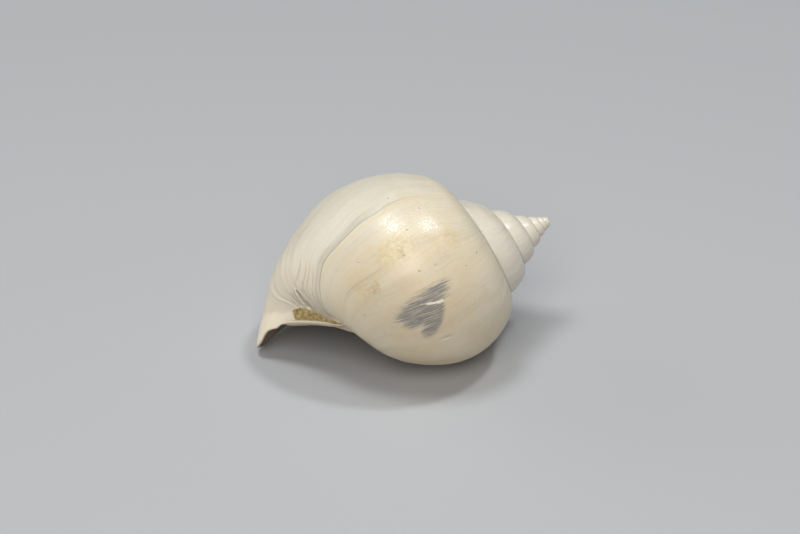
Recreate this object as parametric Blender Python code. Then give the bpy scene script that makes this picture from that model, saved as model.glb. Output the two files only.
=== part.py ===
"""A fossil moon snail shell, lying on its open mouth.

The shell is one closed skin. Its outside is a rounded section swept round a
coiling axis while it grows, and its mouth leads into a hollow that follows the
same coil. Angles called azimuth run round the coiling axis, 0 on top and
growing the way the shell grew. Angles called psi run round the section of the
whorl, 90 degrees towards the tip of the spire.
"""

import math

import bpy
import numpy as np

MM = 0.001

# The coil: growth for each whole turn, across the axis and along it.
WIDTH_GROWTH = 1.769
LENGTH_GROWTH = 1.575
TURNS = 7.0

# The section of the last whorl, at azimuth 180 degrees, in millimetres.
SECTION_SIZE = 11.94
CENTRE_RADIUS = 6.10
CENTRE_DEPTH = 25.33
SECTION_WAVES = ((2, 0.0589, 45.9), (3, -0.0787, -3.4), (4, 0.055, -5.8))
UMBILICUS_RADIUS = 0.35
UMBILICUS_SOFTNESS = 1.1
BASE_STRETCH = 0.1176
BASE_STRETCH_FROM = 2.2

# Slow changes down the length of the shell, as (depth, change) in millimetres.
TAPER = -0.0524
TAPER_FROM = 10.16
TAPER_LENGTH = 11.05
AXIS_BEND = (
    (0, -0.54), (1.5, -0.58), (3, -0.72), (8, -0.70), (10, -0.57), (12, -0.40), (15, -0.14), (18.5, 0),
)
TIP_SWELL = ((0, 0.36), (1, 0.34), (2, 0.24), (3, 0.15), (6, 0.05), (8, 0))

# Broad swellings and hollows: azimuth and psi of the middle, their spreads, all in degrees, and height.
SWELLS = (
    (-138, -18, 60, 53, 0.60), (48, 5, 45, 45, -0.11), (18, 61, 45, 10, 0.28),
    (-335, 50, 50, 15, -0.26), (93, -78, 17, 14, 0.22),
)

# The mouth: where its edge meets the whorl before, its wall and its hollow.
LIP_AZIMUTH = 170.0
LIP_WALL = 0.35
FULL_WALL = 0.95
HOLLOW_DEPTH = 165.0
FLARE_DEPTH = 1.3
FLARE_INWARD = 0.6
FLARE_REACH = 34.0
FLARE_CENTRE = -74.0
FLARE_SPREAD = 20.0
SECTION_END = -101.0
INNER_LIP_REACH = 70.0

# Growth line and lip edge: (psi, azimuth after the suture end) in degrees.
GROWTH_LINE = ((76, 0), (60, -8), (45, -12), (20, -11))
LIP_LINE = (
    (76, 0), (65, -9), (60, -18), (55, -24.5), (45, -33), (30, -40.5), (15, -46), (0, -49.5), (-30, -52),
    (-58, -50.5), (-70, -47.5), (-76, -48), (-82, -49.5), (-87, -52.5), (-90, -56), (-92, -62),
    (-94, -69.5), (-98, -76), (-101, -79),
)

# The inner lip: where it ends on the whorl before, in degrees, the edge of the
# groove behind it as (azimuth, psi), and its crest and underside in millimetres.
INNER_LIP_END = (-70.0, -85.0)
GROOVE_EDGE = (
    (-70, -85), (-52, -90), (-38, -93.5), (-8, -99), (18, -100.5), (43, -101), (60, -101), (93, -101),
)
INNER_LIP_CREST = (
    (-32.72, 2.71, -9.16), (-31.86, 2.09, -8.62), (-31.23, 1.41, -8.30), (-30.39, 0.34, -7.91),
    (-29.50, -0.86, -7.53), (-28.20, -2.56, -7.13), (-27.70, -3.50, -6.78),
)
INNER_LIP_DROP = (
    (0.0, 0.35), (0.2, 0.58), (0.28, 0.60), (0.4, 0.52), (0.54, 0.38), (0.8, 0.22), (1.0, 0.0),
)
DROP_DIRECTION = (-0.188, -0.494, -0.849)

# How the shell lies: the slope of its axis, then a small roll and pitch to rest.
AXIS_SLOPE = 16.33
REST_ROLL = -0.60
REST_PITCH = 0.79

# Mesh density: columns to a turn, rows of the spire, all rows, pillar steps.
COLUMNS = 30
SPIRE_ROWS = 5
ROWS = 22
PILLAR_STEPS = 10
HOLLOW_LOOPS = 16
RIM_STEPS = 2


def smooth(x):
    """0 below 0, 1 above 1 and an even S between."""
    x = np.clip(x, 0.0, 1.0)
    return x * x * (3.0 - 2.0 * x)


def soft_above(x, softness):
    """x where it is well above 0 and nearly 0 below, with a soft bend between."""
    return softness * np.logaddexp(0.0, x / softness)


def through(points, x):
    """A smooth curve through a few (x, y) points, read at x."""
    points = np.array(sorted(points), float)
    px, py = points[:, 0], points[:, 1]
    slope = np.diff(py) / np.diff(px)
    tangent = np.concatenate([slope[:1], (slope[1:] + slope[:-1]) / 2, slope[-1:]])
    x = np.clip(x, px[0], px[-1])
    i = np.clip(np.searchsorted(px, x, side="right") - 1, 0, len(px) - 2)
    width = px[i + 1] - px[i]
    t = (x - px[i]) / width
    value = (2 * t**3 - 3 * t**2 + 1) * py[i] + (3 * t**2 - 2 * t**3) * py[i + 1]
    return value + width * ((t**3 - 2 * t**2 + t) * tangent[i] + (t**3 - t**2) * tangent[i + 1])


def growth_offset(psi):
    """How far a growth line runs ahead of its suture end, in radians."""
    return np.radians(through(GROWTH_LINE, np.degrees(psi)))


def lip_offset(psi):
    """How far the lip edge runs ahead of its suture end, in radians."""
    return np.radians(through(LIP_LINE, np.degrees(psi)))


def section(psi, inset):
    """Radius and depth of the last whorl's section, set in by a wall."""
    waves = sum(size * np.cos(n * (psi - math.radians(turn))) for n, size, turn in SECTION_WAVES)
    reach = SECTION_SIZE * (1.0 + waves) - inset
    lowest = UMBILICUS_RADIUS + inset
    radius = CENTRE_RADIUS + reach * np.cos(psi)
    return lowest + soft_above(radius - lowest, UMBILICUS_SOFTNESS), CENTRE_DEPTH - reach * np.sin(psi)


def growth(azimuth):
    """Width and length of the whorl at an azimuth against the last one."""
    turns = (azimuth - math.pi) / (2.0 * math.pi)
    return WIDTH_GROWTH**turns, LENGTH_GROWTH**turns


def swelling(azimuth, psi):
    """Height of the swellings and hollows, each a flat-topped hill in azimuth and psi."""
    across = np.degrees(azimuth)
    round_it = np.degrees(psi)
    hills = 0.0
    for middle, middle_psi, spread, spread_psi, height in SWELLS:
        away = ((across - middle) / spread) ** 2 + ((round_it - middle_psi) / spread_psi) ** 4
        hills = hills + height * np.exp(-away)
    return hills


def profile(azimuth, psi, wall=0.0):
    """Distance from the axis and depth below the tip, with the lip's flare."""
    width, length = growth(azimuth)
    radius, depth = section(psi, wall / width)
    stretch = BASE_STRETCH * smooth((azimuth + math.pi) / (2.0 * math.pi))
    depth = depth + stretch * soft_above(depth - CENTRE_DEPTH - BASE_STRETCH_FROM, 1.0)
    radius = radius * width
    depth = depth * length
    radius = radius * (1.0 + TAPER * smooth((depth - TAPER_FROM) / TAPER_LENGTH))
    swell = swelling(azimuth, psi)
    radius = radius + swell * np.cos(psi) + through(TIP_SWELL, depth)
    depth = depth - swell * np.sin(psi)
    behind = math.radians(LIP_AZIMUTH) + lip_offset(psi) - azimuth
    share = smooth(1.0 - behind / math.radians(FLARE_REACH))
    flare = share * np.exp(-(((np.degrees(psi) - FLARE_CENTRE) / FLARE_SPREAD) ** 2))
    return radius - FLARE_INWARD * flare, depth + FLARE_DEPTH * flare


def place(radius, depth, azimuth):
    """Points from distance, depth and azimuth round the sloping axis."""
    slope = math.radians(AXIS_SLOPE)
    up = radius * np.cos(azimuth) + through(AXIS_BEND, depth)
    x = -up * math.sin(slope) - depth * math.cos(slope)
    z = up * math.cos(slope) - depth * math.sin(slope)
    return np.stack([x, radius * np.sin(azimuth), z], -1)


def surface(azimuth, psi, wall=0.0):
    """Points of the whorl's surface, or of its inside when a wall is given."""
    radius, depth = profile(azimuth, psi, wall)
    return place(radius, depth, azimuth)


def suture_angles():
    """The two psi angles at which each whorl meets the one before it."""
    def gaps(pair):
        upper, upper_depth = section(pair[0], 0.0)
        lower, lower_depth = section(pair[1], 0.0)
        return np.array([WIDTH_GROWTH * upper - lower, LENGTH_GROWTH * upper_depth - lower_depth])

    pair = np.radians([75.0, 28.0])
    for _ in range(20):
        here = gaps(pair)
        slopes = [(gaps(pair + step) - here) / 1e-6 for step in 1e-6 * np.eye(2)]
        pair = pair - np.linalg.solve(np.array(slopes).T, here)
    return pair


def solve(gap, low, high):
    """Where gap crosses from below 0 to above it, by halving, for every entry."""
    for _ in range(40):
        middle = (low + high) / 2.0
        under = gap(middle) < 0
        low = np.where(under, middle, low)
        high = np.where(under, high, middle)
    return (low + high) / 2.0


def lengths(points):
    """Distance along a chain of points, from 0 at its start to 1 at its end."""
    along = np.concatenate([[0.0], np.cumsum(np.linalg.norm(np.diff(points, axis=0), axis=1))])
    return along / along[-1]


class Skin:
    """Points and faces gathered patch by patch."""

    def __init__(self):
        self.points = np.zeros((0, 3))
        self.faces = []

    def add(self, points):
        """Adds points and returns their numbers in the same arrangement."""
        first = len(self.points)
        self.points = np.concatenate([self.points, points.reshape(-1, 3)])
        return np.arange(first, len(self.points)).reshape(points.shape[:-1])

    def face(self, *corners):
        """Adds one face, leaving out a corner that repeats its neighbour."""
        kept = [int(c) for i, c in enumerate(corners) if c != corners[i - 1]]
        if len(kept) > 2:
            self.faces.append(kept)

    def sheet(self, ids, flip=False):
        """Adds the four-cornered faces of a grid of point numbers."""
        for a, b in zip(ids[:-1], ids[1:]):
            for i in range(len(a) - 1):
                corners = (a[i], b[i], b[i + 1], a[i + 1])
                self.face(*(corners[::-1] if flip else corners))

    def zip_up(self, first, second):
        """Triangles between two chains that run the same way, kept level by length."""
        far_first = lengths(self.points[first])
        far_second = lengths(self.points[second])
        i = j = 0
        while i < len(first) - 1 or j < len(second) - 1:
            if j == len(second) - 1 or (i < len(first) - 1 and far_first[i + 1] <= far_second[j + 1]):
                self.face(first[i + 1], first[i], second[j])
                i += 1
            else:
                self.face(second[j], second[j + 1], first[i])
                j += 1

    def fan(self, loop, centre):
        """Triangles from a closed loop to one point."""
        for a, b in zip(loop, np.roll(loop, -1)):
            self.face(a, b, centre)


def outside_grid(upper, lower):
    """Azimuth and psi of the outside: one row of points for each column."""
    lip = math.radians(LIP_AZIMUTH)
    lag = growth_offset(lower)
    step = (2.0 * math.pi + lag) / COLUMNS
    last = int((TURNS + 1.0) * COLUMNS)
    before = last - COLUMNS
    suture = (lip - (last - np.arange(last + 1)) * step)[:, None]
    spire_psi = np.linspace(upper, lower, SPIRE_ROWS + 1)
    blend = smooth((suture - suture[before]) / (lip - suture[before]))
    spire = suture + (1.0 - blend) * growth_offset(spire_psi) + blend * lip_offset(spire_psi)

    # Below the spire's rows the columns fan out, from the inner lip's end to the free lip.
    down = np.linspace(0.0, 1.0, ROWS - SPIRE_ROWS + 1)[1:]
    end, end_psi = np.radians(INNER_LIP_END)
    lip_psi = lower + (math.radians(SECTION_END) - lower) * down
    fan = lag + (end - suture[before] - lag) * down**2
    body = suture + (1.0 - blend) * fan + blend * lip_offset(lip_psi)
    edge_psi = np.radians(through(GROOVE_EDGE, np.degrees(body[:, -1:])))
    body_psi = lower + (edge_psi - lower) * down
    azimuth = np.concatenate([spire, body], 1)
    psi = np.concatenate([spire_psi + 0.0 * spire, body_psi], 1)
    return azimuth, psi, before


def inner_lip(start, end):
    """Crest of the inner lip from its start on the free lip to its end."""
    points = np.array([start, *INNER_LIP_CREST, end])
    along = lengths(points)
    t = np.linspace(0.0, 1.0, PILLAR_STEPS + 1)
    crest = np.stack([through(list(zip(along, column)), t) for column in points.T], -1)
    return crest, through(INNER_LIP_DROP, t)[:, None] * np.array(DROP_DIRECTION)


def hollow_loops(azimuth, psi, before, crest, drop):
    """Loops that go back from the mouth: the hollow's wall, then the whorl before."""
    upper, lower = psi[0, 0], psi[0, SPIRE_ROWS]
    start_azimuth = azimuth[before, 0]
    steps = ROWS + PILLAR_STEPS
    t = np.linspace(0.0, 1.0, steps + 1)
    across = np.linspace(0.0, 1.0, PILLAR_STEPS + 1)
    deep = np.linspace(0.0, 1.0, HOLLOW_LOOPS + 1)[:, None]
    back = math.radians(HOLLOW_DEPTH) * deep
    near = 1.0 - smooth(deep)
    folded = 1.0 - smooth(back / math.radians(INNER_LIP_REACH))
    wall = LIP_WALL + (FULL_WALL - LIP_WALL) * smooth(back / math.radians(35.0))
    level = math.radians(-45.0)

    # The whorl before, from under the seam to the foot of the pillar.
    foot_azimuth = azimuth[-1, -1] - 2.0 * math.pi - back[:, 0]
    reach = (UMBILICUS_RADIUS + 0.1) * growth(foot_azimuth)[0] + wall[:, 0]
    foot = solve(lambda x: profile(foot_azimuth, x)[0] - reach, np.radians(-170.0), np.radians(-60.0))
    lip_end, lip_end_psi = np.radians(INNER_LIP_END)
    folded_now = folded[:, 0]
    foot_azimuth = foot_azimuth + folded_now * (lip_end - foot_azimuth)
    foot = foot + folded_now * (lip_end_psi - foot)
    head = lower - math.radians(11.0) * np.clip(wall / FULL_WALL, 0.5, 1.0)
    head_azimuth = start_azimuth + growth_offset(lower) * near + level * (1.0 - near) - back
    inner_azimuth = head_azimuth + (foot_azimuth[:, None] - head_azimuth) * t**3
    inner = surface(inner_azimuth, head + (foot[:, None] - head) * t)

    # The hollow's wall, set in from the outside, and round the pillar to its foot.
    shift = math.radians(12.0)
    wall_psi = psi[-1] - shift * (1.0 - (upper - psi[-1]) / (upper - psi[-1, -1])) ** 4
    wall_azimuth = azimuth[-1, 0] + lip_offset(wall_psi) * near + level * (1.0 - near) - back
    rim_azimuth = wall_azimuth[:, -1:]
    foot_depth = profile(foot_azimuth, foot)[1]
    toe = solve(
        lambda x: profile(rim_azimuth[:, 0], x, wall[:, 0])[1] - foot_depth,
        np.radians(-250.0), np.radians(-101.0),
    )[:, None]
    outer = surface(wall_azimuth, wall_psi + 0.0 * wall_azimuth, wall)
    pillar = surface(rim_azimuth + 0.0 * across, wall_psi[-1] + (toe - wall_psi[-1]) * across, wall)
    away = inner[:, -1:] - pillar[:, -1:]
    pillar = pillar + away * across[:, None] ** 2
    under = outer[:, -1:] + (crest + drop - crest[0] - drop[0]) 
    under = under + (inner[:, -1:] - under[:, -1:]) * across[:, None] ** 2
    pillar = pillar + folded[:, :, None] * (under - pillar)
    outer = np.concatenate([outer, pillar[:, 1:]], 1)
    outer[0, ROWS:-1] = (crest + drop)[:-1]
    return outer, inner


def rim_rows(edge, within):
    """Rows of a rounded rim between two edges, bulging out of the mouth."""
    ahead = np.cross(np.gradient(edge, axis=0), edge - within)
    ahead /= np.linalg.norm(ahead, axis=1, keepdims=True) + 1e-9
    gap = np.minimum(np.linalg.norm(edge - within, axis=1, keepdims=True), LIP_WALL) / 2.0
    ends = np.arange(len(edge))
    fade = np.minimum(1.0, np.minimum(ends, len(edge) - 1 - ends) / 3.0)[:, None]
    turn = math.pi * np.arange(1, RIM_STEPS + 1)[:, None, None] / (RIM_STEPS + 1)
    return (edge + within) / 2.0 + (edge - within) / 2.0 * np.cos(turn) + ahead * gap * fade * np.sin(turn)


def build_skin():
    """The whole closed shell, in millimetres."""
    skin = Skin()
    azimuth, psi, before = outside_grid(*suture_angles())
    outside = surface(azimuth, psi)
    last = len(outside) - 1

    # Outside: rows of the spire for every turn, all rows for the last one.
    ids = np.full(azimuth.shape, -1)
    ids[:, :SPIRE_ROWS] = skin.add(outside[:, :SPIRE_ROWS])
    ids[before + 1:, SPIRE_ROWS:] = skin.add(outside[before + 1:, SPIRE_ROWS:])
    ids[:before + 1, SPIRE_ROWS] = ids[COLUMNS:, 0]
    skin.sheet(ids[:before + 2, :SPIRE_ROWS + 1])
    skin.sheet(ids[before + 1:])

    # Hollow, with the last loop joined across.
    corner = outside[before, -1]
    crest, drop = inner_lip(outside[last, -1], corner)
    outer, inner = hollow_loops(azimuth, psi, before, crest, drop)
    inner_ids = skin.add(inner)
    outer_ids = inner_ids.copy()
    outer_ids[:, 1:-1] = skin.add(outer[:, 1:-1])
    skin.sheet(outer_ids)
    skin.sheet(inner_ids, flip=True)
    skin.sheet(np.stack([outer_ids[-1], inner_ids[-1]]))

    # Lip: a rounded rim between the outside and the hollow.
    crest_ids = np.concatenate([skin.add(crest[1:-1]), skin.add(corner[None])])
    edge_ids = np.concatenate([ids[last], crest_ids])
    edge = skin.points[edge_ids]
    within = skin.points[outer_ids[0]]
    rim = np.concatenate([edge_ids[None], skin.add(rim_rows(edge, within)), outer_ids[:1]])
    skin.sheet(rim)

    # Joins: the whorl before the mouth, the groove behind the inner lip and the tip.
    seam = np.concatenate([rim[:, 0], inner_ids[0, 1:-1], rim[::-1, -1]])
    skin.zip_up(seam, ids[before + 1, SPIRE_ROWS:])
    crest_line = np.concatenate([ids[last, -1:], crest_ids])
    skin.zip_up(np.append(ids[before + 1:, -1][::-1], crest_ids[-1]), crest_line)
    start_loop = np.concatenate([ids[0, :SPIRE_ROWS + 1], ids[1:COLUMNS, 0][::-1]])
    tip = skin.points[start_loop].mean(0) * 0.5
    skin.fan(start_loop, skin.add(tip[None])[0])
    return skin


def turned(points):
    """The small roll and pitch that bring the shell to rest."""
    roll = math.radians(REST_ROLL)
    pitch = math.radians(REST_PITCH)
    x, y, z = points.T
    y, z = y * math.cos(roll) - z * math.sin(roll), y * math.sin(roll) + z * math.cos(roll)
    x, z = x * math.cos(pitch) + z * math.sin(pitch), z * math.cos(pitch) - x * math.sin(pitch)
    return np.stack([x, y, z], -1)


def on_the_table(points):
    """Moves the shell so that its box stands centred on the origin."""
    low = points.min(0)
    high = points.max(0)
    return points - np.array([(low[0] + high[0]) / 2, (low[1] + high[1]) / 2, low[2]])


def stone_material():
    """Pale cream fossil stone."""
    material = bpy.data.materials.new("pale fossil stone")
    material.use_nodes = True
    shader = material.node_tree.nodes["Principled BSDF"]
    shader.inputs["Base Color"].default_value = (0.62, 0.55, 0.42, 1.0)
    shader.inputs["Roughness"].default_value = 0.5
    return material


def make_shell():
    """The mesh object, shaded smooth, in its own collection."""
    skin = build_skin()
    mesh = bpy.data.meshes.new("shell")
    mesh.from_pydata((on_the_table(turned(skin.points)) * MM).tolist(), [], skin.faces)
    mesh.polygons.foreach_set("use_smooth", [True] * len(mesh.polygons))
    mesh.materials.append(stone_material())
    mesh.update()
    shell = bpy.data.objects.new("shell", mesh)
    collection = bpy.data.collections.new("fossil moon snail shell")
    bpy.context.scene.collection.children.link(collection)
    collection.objects.link(shell)


def main():
    for old in list(bpy.data.objects):
        bpy.data.objects.remove(old, do_unlink=True)
    make_shell()


main()
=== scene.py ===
"""A fossil moon snail shell lying on its open mouth, on a plain stage.

The shell is one closed skin. Its outside is a rounded section swept round a
coiling axis while it grows, and its mouth leads into a hollow that follows the
same coil. Angles called azimuth run round the coiling axis, 0 on top and
growing the way the shell grew. Angles called psi run round the section of the
whorl, 90 degrees towards the tip of the spire. Lengths inside the functions
are in millimetres and angles in radians, unless a name says degrees.
"""

import math

import bpy
import numpy as np
from mathutils import Matrix, Vector


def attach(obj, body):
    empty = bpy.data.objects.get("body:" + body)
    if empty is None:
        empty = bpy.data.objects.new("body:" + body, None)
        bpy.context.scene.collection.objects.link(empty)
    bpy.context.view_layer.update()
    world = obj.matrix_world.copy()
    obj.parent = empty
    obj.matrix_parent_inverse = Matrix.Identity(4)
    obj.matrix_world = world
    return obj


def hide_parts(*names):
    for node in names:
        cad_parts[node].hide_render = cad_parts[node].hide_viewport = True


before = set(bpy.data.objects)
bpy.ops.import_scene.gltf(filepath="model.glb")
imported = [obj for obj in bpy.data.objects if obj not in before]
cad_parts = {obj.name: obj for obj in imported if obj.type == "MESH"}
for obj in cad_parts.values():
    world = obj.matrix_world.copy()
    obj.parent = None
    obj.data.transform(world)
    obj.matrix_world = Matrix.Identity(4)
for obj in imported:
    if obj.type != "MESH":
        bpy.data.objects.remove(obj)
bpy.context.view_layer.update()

bl_info = {
    "name": "Fossil moon snail shell",
    "version": (1, 0, 0),
    "blender": (4, 5, 0),
    "location": "3D View > Sidebar > Fossil shell",
    "description": "Makes a fossil moon snail shell and a plain stage round it",
    "category": "Add Mesh",
}

MM = 0.001

# The coil: growth for each whole turn, across the axis and along it, and the turns
# before the last one.
WIDTH_GROWTH = 1.769
LENGTH_GROWTH = 1.575
TURNS = 7.0

# The section of the last whorl, at azimuth 180 degrees: its middle, its waves as
# (waves to a turn, share of the size, turn in degrees), the navel it stops at, and
# how it stretches along the axis below a distance from its middle.
CENTRE_RADIUS = 6.10
CENTRE_DEPTH = 25.33
SECTION_WAVES = ((2, 0.0589, 45.9), (3, -0.0787, -3.4), (4, 0.055, -5.8))
UMBILICUS_RADIUS = 0.35
UMBILICUS_SOFTNESS = 1.1
BASE_STRETCH = 0.1176
BASE_STRETCH_FROM = 2.2

# Slow changes down the length of the shell: a taper, and tables of (depth, shift of
# the axis) and (depth, added radius).
TAPER = -0.0524
TAPER_FROM = 10.16
TAPER_LENGTH = 11.05
AXIS_BEND = (
    (0, -0.54), (1.5, -0.58), (3, -0.72), (8, -0.70), (10, -0.57), (12, -0.40), (15, -0.14),
    (18.5, 0),
)
TIP_SWELL = ((0, 0.36), (1, 0.34), (2, 0.24), (3, 0.15), (6, 0.05), (8, 0))

# Broad swellings and hollows: azimuth and psi of the middle and their spreads in
# degrees, then the height.
SWELLS = (
    (-138, -18, 60, 53, 0.60), (48, 5, 45, 45, -0.11), (18, 61, 45, 10, 0.28),
    (-335, 50, 50, 15, -0.26), (93, -78, 17, 14, 0.22),
)

# Growth ridges: waves to a radian, and the seed of their phases. The second set
# lies near the navel: where it starts along psi and how softly, in degrees.
GROWTH_WAVES = ((11, 17, 23, 31), 3)
NAVEL_WAVES = ((19, 27, 34), 5)
NAVEL_START = (-52.0, 22.0)

# The mouth: where its edge meets the whorl before, and how thick its wall is.
LIP_AZIMUTH = 170.0
LIP_WALL = 0.35
FULL_WALL = 0.95

# The hollow behind it, in degrees: how far back it goes, over how much of that its
# wall grows thick, how its loops lie, and where its foot and toe are looked for.
HOLLOW_DEPTH = 165.0
WALL_GROWS_OVER = 35.0
HOLLOW_LEVEL = -45.0
HEAD_TUCK = 11.0
WALL_SHIFT = 12.0
FOOT_BETWEEN = (-170.0, -60.0)
TOE_BETWEEN = (-250.0, -101.0)
LOOPS_TO_SHADE = 3.0

# The lip's flare: its height along the axis and inwards in millimetres, then how far
# back it reaches, its middle and its spread in degrees.
FLARE_DEPTH = 1.3
FLARE_INWARD = 0.6
FLARE_REACH = 34.0
FLARE_CENTRE = -74.0
FLARE_SPREAD = 20.0

# Where the free lip ends and how far back the inner lip reaches, in degrees, and the
# share of the rim over which it thins out at each end.
SECTION_END = -101.0
INNER_LIP_REACH = 70.0
RIM_ENDS = 0.04

# Where the growth ridges fade out: below the seam, above it and at the lip, in degrees.
FADE_BELOW_SEAM = 8.0
FADE_ABOVE_SEAM = 5.0
FADE_AT_LIP = 4.0

# Where the pale base and the smooth band start along psi, and how softly, in
# degrees; and where the band starts along the growth coordinate, in radians.
BASE_START = (-50.0, 25.0)
CALLUS_START = (-52.0, 10.0)
CALLUS_GROWN = (1.9, 0.2)

# Edge column and lip edge: (psi, azimuth after the suture end) in degrees.
GROWTH_LINE = ((76, 0), (60, -8), (45, -12), (20, -11))
LIP_LINE = (
    (76, 0), (65, -9), (60, -18), (55, -24.5), (45, -33), (30, -40.5), (15, -46), (0, -49.5),
    (-30, -52), (-58, -50.5), (-70, -47.5), (-76, -48), (-82, -49.5), (-87, -52.5), (-90, -56),
    (-92, -62), (-94, -69.5), (-98, -76), (-101, -79),
)

# A growth line over the whole section, down into the navel, in the same way.
WHOLE_GROWTH_LINE = (
    (75, 0), (60, -6), (45, -8), (28, -6.2), (14, -6.8), (-1, -9), (-11, -9.3), (-26, -10.4),
    (-36, -10.6), (-48, -10.6), (-54, -11.6), (-62, -15.9), (-71, -22.5), (-80, -31), (-87, -40),
    (-100, -60), (-110, -74), (-125, -90), (-150, -100),
)

# The inner lip: where it ends on the whorl before and the edge of the groove behind
# it, as (azimuth, psi) in degrees; points of its crest; and how far its underside
# lies below the crest, by share of its length, and in which direction.
INNER_LIP_END = (-70.0, -85.0)
GROOVE_EDGE = (
    (-70, -85), (-52, -90), (-38, -93.5), (-8, -99), (18, -100.5), (43, -101), (60, -101),
    (93, -101),
)
INNER_LIP_CREST = (
    (-32.72, 2.71, -9.16), (-31.86, 2.09, -8.62), (-31.23, 1.41, -8.30), (-30.39, 0.34, -7.91),
    (-29.50, -0.86, -7.53), (-28.20, -2.56, -7.13), (-27.70, -3.50, -6.78),
)
INNER_LIP_DROP = (
    (0.0, 0.35), (0.2, 0.58), (0.28, 0.60), (0.4, 0.52), (0.54, 0.38), (0.8, 0.22), (1.0, 0.0),
)
DROP_DIRECTION = (-0.188, -0.494, -0.849)

# The groove behind the inner lip: how far it sinks, how far psi runs on across it, and
# where its sediment starts; the sediment's upper and lower edges as (share of the
# groove's length, share of its width).
GROOVE_SINK = 0.25
GROOVE_PSI = -0.35
SEDIMENT_START = 0.275
SEDIMENT_TOP = ((0.0, -0.2), (0.36, -0.1), (0.5, 0.06), (0.7, 0.22), (1.0, 0.28))
SEDIMENT_BOTTOM = ((0.0, 0.86), (0.5, 0.86), (0.75, 0.74), (1.0, 0.70))

# How the shell lies: the slope of its axis, then a small roll and pitch to rest.
AXIS_SLOPE = 16.33
REST_ROLL = -0.60
REST_PITCH = 0.79

# Mesh density: columns to a turn, rows of the spire and all rows, then the steps of
# the inner lip, of the hollow, round the rim, and across and along the groove.
COLUMNS = 330
SPIRE_ROWS = 15
ROWS = 96
PILLAR_STEPS = 72
HOLLOW_LOOPS = 44
RIM_STEPS = 7
GROOVE_ROWS = 14
GROOVE_STEPS = 150

# How often each search repeats.
NEWTON_STEPS = 20
HALVINGS = 40
SUBSTITUTIONS = 12

# The mesh's point attributes, each from 0 to 1.
MASKS = ("inside", "deep", "callus", "sediment", "base", "seam")


# What all colour settings share.
COLOUR = {"size": 4, "min": 0.0, "max": 1.0, "subtype": "COLOR"}


class ShellSettings(bpy.types.PropertyGroup):
    """Sizes and colours of the shell."""

    section_size: bpy.props.FloatProperty(
        name="Whorl size", description="Half width of the last whorl's section",
        default=0.01194, min=0.001, max=0.1, precision=5, unit="LENGTH",
    )
    relief: bpy.props.FloatProperty(
        name="Growth relief", description="Height of the growth ridges on the outside",
        default=0.00003, min=0.0, max=0.0005, precision=6, unit="LENGTH",
    )
    cream: bpy.props.FloatVectorProperty(
        name="Cream", description="Warm colour of the older part of the shell",
        default=(0.73, 0.60, 0.40, 1.0), **COLOUR,
    )
    ivory: bpy.props.FloatVectorProperty(
        name="Ivory", description="Cool pale colour of the newer part of the shell",
        default=(0.70, 0.64, 0.52, 1.0), **COLOUR,
    )
    line_grey: bpy.props.FloatVectorProperty(
        name="Growth line grey", description="Colour of the dark growth lines",
        default=(0.44, 0.365, 0.25, 1.0), **COLOUR,
    )
    ochre: bpy.props.FloatVectorProperty(
        name="Ochre", description="Colour of the stains",
        default=(0.50, 0.36, 0.16, 1.0), **COLOUR,
    )
    violet: bpy.props.FloatVectorProperty(
        name="Violet grey", description="Colour of the hatched patch",
        default=(0.18, 0.18, 0.20, 1.0), **COLOUR,
    )
    callus: bpy.props.FloatVectorProperty(
        name="Callus", description="Colour of the smooth band at the inner lip",
        default=(0.90, 0.78, 0.57, 1.0), **COLOUR,
    )
    sediment: bpy.props.FloatVectorProperty(
        name="Sediment", description="Colour of the sediment behind the inner lip",
        default=(0.46, 0.32, 0.12, 1.0), **COLOUR,
    )


class StageSettings(bpy.types.PropertyGroup):
    """Sizes and colours of the stage."""

    floor_size: bpy.props.FloatProperty(
        name="Floor size", description="Length of the floor's side",
        default=4.0, min=0.5, max=20.0, unit="LENGTH",
    )
    floor_colour: bpy.props.FloatVectorProperty(
        name="Floor colour", description="Colour of the floor",
        default=(0.45, 0.45, 0.46, 1.0), **COLOUR,
    )
    lens: bpy.props.FloatProperty(
        name="Lens", description="Focal length of the camera in millimetres",
        default=105.726, min=10.0, max=400.0,
    )


def smooth(x):
    """0 below 0, 1 above 1 and an even S between."""
    x = np.clip(x, 0.0, 1.0)
    return x * x * (3.0 - 2.0 * x)


def beyond(psi, start, soft):
    """0 before psi has come down to a start in degrees, and 1 once it is past the soft part."""
    return smooth((start - np.degrees(psi)) / soft)


def soft_above(x, softness):
    """x where it is well above 0 and nearly 0 below, with a soft bend between."""
    return softness * np.logaddexp(0.0, x / softness)


def through(points, x):
    """A smooth curve through a few (x, y) points, read at x."""
    points = np.array(sorted(points), float)
    px, py = points[:, 0], points[:, 1]
    slope = np.diff(py) / np.diff(px)
    tangent = np.concatenate([slope[:1], (slope[1:] + slope[:-1]) / 2, slope[-1:]])
    x = np.clip(x, px[0], px[-1])
    i = np.clip(np.searchsorted(px, x, side="right") - 1, 0, len(px) - 2)
    width = px[i + 1] - px[i]
    t = (x - px[i]) / width
    value = (2 * t**3 - 3 * t**2 + 1) * py[i] + (3 * t**2 - 2 * t**3) * py[i + 1]
    return value + width * ((t**3 - 2 * t**2 + t) * tangent[i] + (t**3 - t**2) * tangent[i + 1])


def growth_offset(psi):
    """How far an edge column runs ahead of its suture end."""
    return np.radians(through(GROWTH_LINE, np.degrees(psi)))


def lip_offset(psi):
    """How far the lip edge runs ahead of its suture end."""
    return np.radians(through(LIP_LINE, np.degrees(psi)))


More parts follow.
